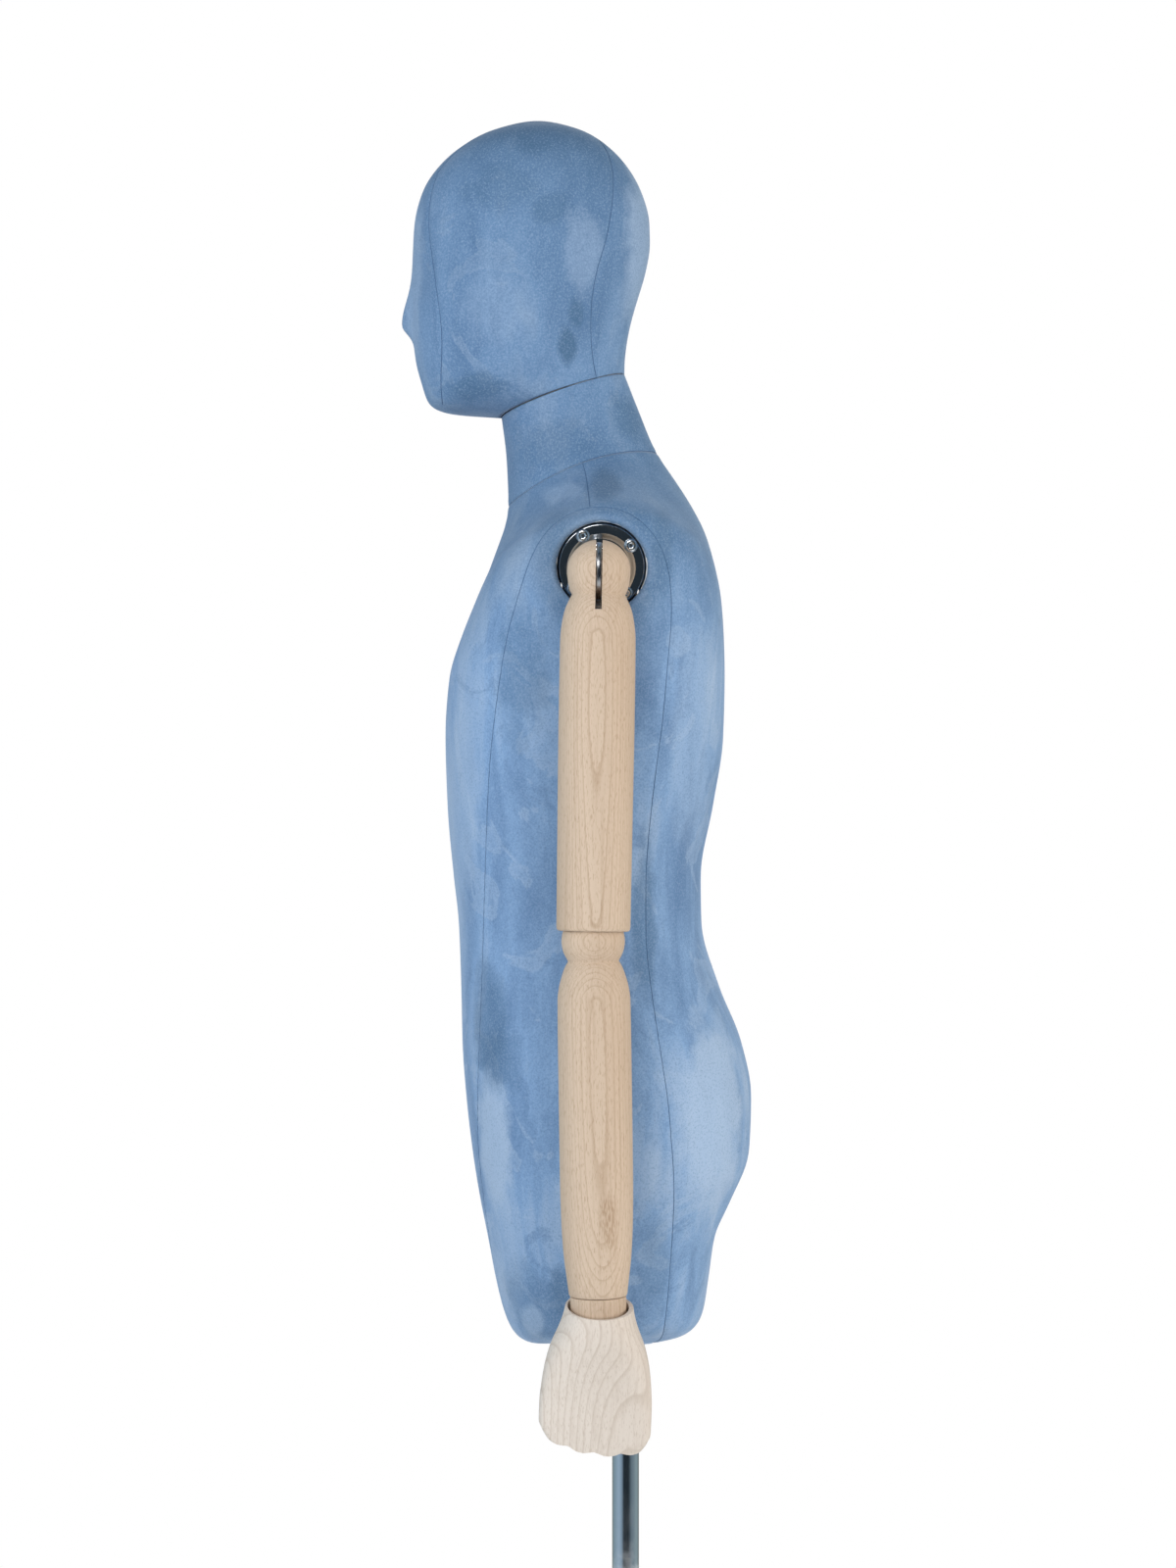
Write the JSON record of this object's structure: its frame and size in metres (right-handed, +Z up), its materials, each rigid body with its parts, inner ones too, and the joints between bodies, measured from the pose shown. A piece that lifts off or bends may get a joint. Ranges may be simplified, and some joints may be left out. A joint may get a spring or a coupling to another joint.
{
  "type": "display mannequin",
  "caption": "Half-body display mannequin: velvet-covered head, neck and torso, articulated wooden arms and hands, on a height-adjustable chrome pole with a round base.",
  "frame": {"origin": "centre of the round base on the floor, on the pole's axis", "axes": "+Z up along the pole, +X to the figure's left, the figure faces -Y"},
  "size_m": [0.5054, 0.38, 1.7985],
  "materials": {
    "velvet": "dusty blue short-pile velvet with a brushed, patchy nap",
    "beech": "turned beech, fine sanded, clear matt",
    "pale_beech": "pale beech, sanded, unfinished, visible cathedral grain",
    "chrome": "polished chrome plate",
    "steel": "bright zinc-plated steel",
    "brass": "plain brass",
    "rubber": "matt black rubber",
    "black_plastic": "moulded black plastic",
    "fibreglass": "unpainted fibreglass, hidden under the cover",
    "plywood": "birch plywood, hidden"
  },
  "bodies": {
    "stand": {"base_pad": "rubber", "base_plate": "chrome", "pole_socket": "chrome", "outer_tube": "chrome", "clamp_collar": "chrome"},
    "knob": {"clamp_knob": "black_plastic"},
    "rod": {"inner_rod": "chrome"},
    "torso": {"torso_shell": "fibreglass", "neck_shell": "fibreglass", "torso_cover": "velvet", "neck_cover": "velvet", "neck_plate": "plywood", "body_socket": "steel", "shoulder_plate_left": "chrome", "shoulder_plate_right": "chrome"},
    "head": {"head_shell": "fibreglass", "head_cover": "velvet", "head_plate": "plywood"},
    "shoulder_left": {"shoulder_hook_left": "steel"},
    "upper_arm_left": {"upper_arm_left": "beech", "shoulder_pin_left": "brass", "elbow_tongue_left": "steel"},
    "forearm_left": {"forearm_left": "beech"},
    "wrist_left": {"wrist_ball_left": "beech"},
    "hand_left": {"palm_left": "pale_beech"},
    "index_proximal_left": {"index_proximal_left": "beech"},
    "index_middle_left": {"index_middle_left": "beech"},
    "index_distal_left": {"index_distal_left": "beech"},
    "middle_proximal_left": {"middle_proximal_left": "beech"},
    "middle_middle_left": {"middle_middle_left": "beech"},
    "middle_distal_left": {"middle_distal_left": "beech"},
    "ring_proximal_left": {"ring_proximal_left": "beech"},
    "ring_middle_left": {"ring_middle_left": "beech"},
    "ring_distal_left": {"ring_distal_left": "beech"},
    "little_proximal_left": {"little_proximal_left": "beech"},
    "little_middle_left": {"little_middle_left": "beech"},
    "little_distal_left": {"little_distal_left": "beech"},
    "thumb_proximal_left": {"thumb_proximal_left": "beech"},
    "thumb_distal_left": {"thumb_distal_left": "beech"},
    "shoulder_right": {"shoulder_hook_right": "steel"},
    "upper_arm_right": {"upper_arm_right": "beech", "shoulder_pin_right": "brass", "elbow_tongue_right": "steel"},
    "forearm_right": {"forearm_right": "beech"},
    "wrist_right": {"wrist_ball_right": "beech"},
    "hand_right": {"palm_right": "pale_beech"},
    "index_proximal_right": {"index_proximal_right": "beech"},
    "index_middle_right": {"index_middle_right": "beech"},
    "index_distal_right": {"index_distal_right": "beech"},
    "middle_proximal_right": {"middle_proximal_right": "beech"},
    "middle_middle_right": {"middle_middle_right": "beech"},
    "middle_distal_right": {"middle_distal_right": "beech"},
    "ring_proximal_right": {"ring_proximal_right": "beech"},
    "ring_middle_right": {"ring_middle_right": "beech"},
    "ring_distal_right": {"ring_distal_right": "beech"},
    "little_proximal_right": {"little_proximal_right": "beech"},
    "little_middle_right": {"little_middle_right": "beech"},
    "little_distal_right": {"little_distal_right": "beech"},
    "thumb_proximal_right": {"thumb_proximal_right": "beech"},
    "thumb_distal_right": {"thumb_distal_right": "beech"}
  },
  "joints": [
    {"name": "knob_turn", "type": "hinge", "parent": "stand", "child": "knob", "pos_m": [0, 0, 0.5555], "axis": [0, 1, 0], "continuous": true},
    {"name": "height_slide", "type": "slide", "parent": "stand", "child": "rod", "axis": [0, 0, 1], "range_m": [-0.15, 0.15]},
    {"name": "torso_swivel", "type": "hinge", "parent": "rod", "child": "torso", "pos_m": [0, 0, 0.948], "axis": [0, 0, 1], "continuous": true},
    {"name": "head_turn", "type": "hinge", "parent": "torso", "child": "head", "pos_m": [0, -0.051, 1.5764], "axis": [0, -0.3256, 0.9455], "range_deg": [-90, 90]},
    {"name": "shoulder_swing_left", "type": "hinge", "parent": "torso", "child": "shoulder_left", "pos_m": [0.19, -0.0227, 1.4235], "axis": [-1, 0, 0], "range_deg": [-60, 170]},
    {"name": "shoulder_raise_left", "type": "hinge", "parent": "shoulder_left", "child": "upper_arm_left", "pos_m": [0.19, -0.0227, 1.4235], "axis": [0, -0.9999, 0.0157], "range_deg": [0, 110]},
    {"name": "elbow_bend_left", "type": "hinge", "parent": "upper_arm_left", "child": "forearm_left", "pos_m": [0.20624, -0.027, 1.15012], "axis": [-0.9982, -0.0009, -0.0593], "range_deg": [0, 50]},
    {"name": "wrist_turn_left", "type": "hinge", "parent": "forearm_left", "child": "wrist_left", "pos_m": [0.22166, -0.02336, 0.8906], "axis": [-0.0593, -0.014, 0.9981], "continuous": true},
    {"name": "wrist_bend_left", "type": "hinge", "parent": "wrist_left", "child": "hand_left", "pos_m": [0.22302, -0.02304, 0.86764], "axis": [-0.0018, 0.9999, 0.0139], "range_deg": [-27, 2]},
    {"name": "index_knuckle_left", "type": "hinge", "parent": "hand_left", "child": "index_proximal_left", "pos_m": [0.21045, -0.05584, 0.79387], "axis": [-0.0097, 0.9993, -0.0361], "range_deg": [-78, 12]},
    {"name": "index_middle_left", "type": "hinge", "parent": "index_proximal_left", "child": "index_middle_left", "pos_m": [0.17251, -0.05628, 0.79188], "axis": [-0.0097, 0.9993, -0.0361], "range_deg": [-50, 40]},
    {"name": "index_tip_left", "type": "hinge", "parent": "index_middle_left", "child": "index_distal_left", "pos_m": [0.15682, -0.05582, 0.80869], "axis": [-0.0097, 0.9993, -0.0361], "range_deg": [-25, 45]},
    {"name": "middle_knuckle_left", "type": "hinge", "parent": "hand_left", "child": "middle_proximal_left", "pos_m": [0.20948, -0.03604, 0.78821], "axis": [-0.0097, 0.9993, -0.0361], "range_deg": [-78, 12]},
    {"name": "middle_middle_left", "type": "hinge", "parent": "middle_proximal_left", "child": "middle_middle_left", "pos_m": [0.17153, -0.03648, 0.78622], "axis": [-0.0097, 0.9993, -0.0361], "range_deg": [-50, 40]},
    {"name": "middle_tip_left", "type": "hinge", "parent": "middle_middle_left", "child": "middle_distal_left", "pos_m": [0.15584, -0.03603, 0.80304], "axis": [-0.0097, 0.9993, -0.0361], "range_deg": [-25, 45]},
    {"name": "ring_knuckle_left", "type": "hinge", "parent": "hand_left", "child": "ring_proximal_left", "pos_m": [0.2089, -0.01615, 0.78502], "axis": [-0.0097, 0.9993, -0.0361], "range_deg": [-78, 12]},
    {"name": "ring_middle_left", "type": "hinge", "parent": "ring_proximal_left", "child": "ring_middle_left", "pos_m": [0.17095, -0.01659, 0.78304], "axis": [-0.0097, 0.9993, -0.0361], "range_deg": [-50, 40]},
    {"name": "ring_tip_left", "type": "hinge", "parent": "ring_middle_left", "child": "ring_distal_left", "pos_m": [0.15526, -0.01613, 0.79985], "axis": [-0.0097, 0.9993, -0.0361], "range_deg": [-25, 45]},
    {"name": "little_knuckle_left", "type": "hinge", "parent": "hand_left", "child": "little_proximal_left", "pos_m": [0.20894, 0.00389, 0.78578], "axis": [-0.0097, 0.9993, -0.0361], "range_deg": [-78, 12]},
    {"name": "little_middle_left", "type": "hinge", "parent": "little_proximal_left", "child": "little_middle_left", "pos_m": [0.17099, 0.00346, 0.7838], "axis": [-0.0097, 0.9993, -0.0361], "range_deg": [-50, 40]},
    {"name": "little_tip_left", "type": "hinge", "parent": "little_middle_left", "child": "little_distal_left", "pos_m": [0.1553, 0.00391, 0.80061], "axis": [-0.0097, 0.9993, -0.0361], "range_deg": [-25, 45]},
    {"name": "thumb_swing_left", "type": "hinge", "parent": "hand_left", "child": "thumb_proximal_left", "pos_m": [0.20653, -0.04522, 0.83968], "axis": [-0.1562, -0.0371, -0.987], "range_deg": [-70, 4]},
    {"name": "thumb_tip_left", "type": "hinge", "parent": "thumb_proximal_left", "child": "thumb_distal_left", "pos_m": [0.17995, -0.04721, 0.84396], "axis": [-0.1562, -0.0371, -0.987], "range_deg": [-15, 50]},
    {"name": "shoulder_swing_right", "type": "hinge", "parent": "torso", "child": "shoulder_right", "pos_m": [-0.19, -0.0227, 1.4235], "axis": [-1, 0, 0], "range_deg": [-60, 170]},
    {"name": "shoulder_raise_right", "type": "hinge", "parent": "shoulder_right", "child": "upper_arm_right", "pos_m": [-0.19, -0.0227, 1.4235], "axis": [0, 0.9999, -0.0157], "range_deg": [0, 110]},
    {"name": "elbow_bend_right", "type": "hinge", "parent": "upper_arm_right", "child": "forearm_right", "pos_m": [-0.20624, -0.027, 1.15012], "axis": [-0.9982, 0.0009, 0.0593], "range_deg": [0, 50]},
    {"name": "wrist_turn_right", "type": "hinge", "parent": "forearm_right", "child": "wrist_right", "pos_m": [-0.22166, -0.02336, 0.8906], "axis": [-0.0593, 0.014, -0.9981], "continuous": true},
    {"name": "wrist_bend_right", "type": "hinge", "parent": "wrist_right", "child": "hand_right", "pos_m": [-0.22302, -0.02304, 0.86764], "axis": [-0.0018, -0.9999, -0.0139], "range_deg": [-27, 2]},
    {"name": "index_knuckle_right", "type": "hinge", "parent": "hand_right", "child": "index_proximal_right", "pos_m": [-0.21045, -0.05584, 0.79387], "axis": [-0.0097, -0.9993, 0.0361], "range_deg": [-78, 12]},
    {"name": "index_middle_right", "type": "hinge", "parent": "index_proximal_right", "child": "index_middle_right", "pos_m": [-0.17251, -0.05628, 0.79188], "axis": [-0.0097, -0.9993, 0.0361], "range_deg": [-50, 40]},
    {"name": "index_tip_right", "type": "hinge", "parent": "index_middle_right", "child": "index_distal_right", "pos_m": [-0.15682, -0.05582, 0.80869], "axis": [-0.0097, -0.9993, 0.0361], "range_deg": [-25, 45]},
    {"name": "middle_knuckle_right", "type": "hinge", "parent": "hand_right", "child": "middle_proximal_right", "pos_m": [-0.20948, -0.03604, 0.78821], "axis": [-0.0097, -0.9993, 0.0361], "range_deg": [-78, 12]},
    {"name": "middle_middle_right", "type": "hinge", "parent": "middle_proximal_right", "child": "middle_middle_right", "pos_m": [-0.17153, -0.03648, 0.78622], "axis": [-0.0097, -0.9993, 0.0361], "range_deg": [-50, 40]},
    {"name": "middle_tip_right", "type": "hinge", "parent": "middle_middle_right", "child": "middle_distal_right", "pos_m": [-0.15584, -0.03603, 0.80304], "axis": [-0.0097, -0.9993, 0.0361], "range_deg": [-25, 45]},
    {"name": "ring_knuckle_right", "type": "hinge", "parent": "hand_right", "child": "ring_proximal_right", "pos_m": [-0.2089, -0.01615, 0.78502], "axis": [-0.0097, -0.9993, 0.0361], "range_deg": [-78, 12]},
    {"name": "ring_middle_right", "type": "hinge", "parent": "ring_proximal_right", "child": "ring_middle_right", "pos_m": [-0.17095, -0.01659, 0.78304], "axis": [-0.0097, -0.9993, 0.0361], "range_deg": [-50, 40]},
    {"name": "ring_tip_right", "type": "hinge", "parent": "ring_middle_right", "child": "ring_distal_right", "pos_m": [-0.15526, -0.01613, 0.79985], "axis": [-0.0097, -0.9993, 0.0361], "range_deg": [-25, 45]},
    {"name": "little_knuckle_right", "type": "hinge", "parent": "hand_right", "child": "little_proximal_right", "pos_m": [-0.20894, 0.00389, 0.78578], "axis": [-0.0097, -0.9993, 0.0361], "range_deg": [-78, 12]},
    {"name": "little_middle_right", "type": "hinge", "parent": "little_proximal_right", "child": "little_middle_right", "pos_m": [-0.17099, 0.00346, 0.7838], "axis": [-0.0097, -0.9993, 0.0361], "range_deg": [-50, 40]},
    {"name": "little_tip_right", "type": "hinge", "parent": "little_middle_right", "child": "little_distal_right", "pos_m": [-0.1553, 0.00391, 0.80061], "axis": [-0.0097, -0.9993, 0.0361], "range_deg": [-25, 45]},
    {"name": "thumb_swing_right", "type": "hinge", "parent": "hand_right", "child": "thumb_proximal_right", "pos_m": [-0.20653, -0.04522, 0.83968], "axis": [-0.1562, 0.0371, 0.987], "range_deg": [-70, 4]},
    {"name": "thumb_tip_right", "type": "hinge", "parent": "thumb_proximal_right", "child": "thumb_distal_right", "pos_m": [-0.17995, -0.04721, 0.84396], "axis": [-0.1562, 0.0371, 0.987], "range_deg": [-15, 50]}
  ]
}
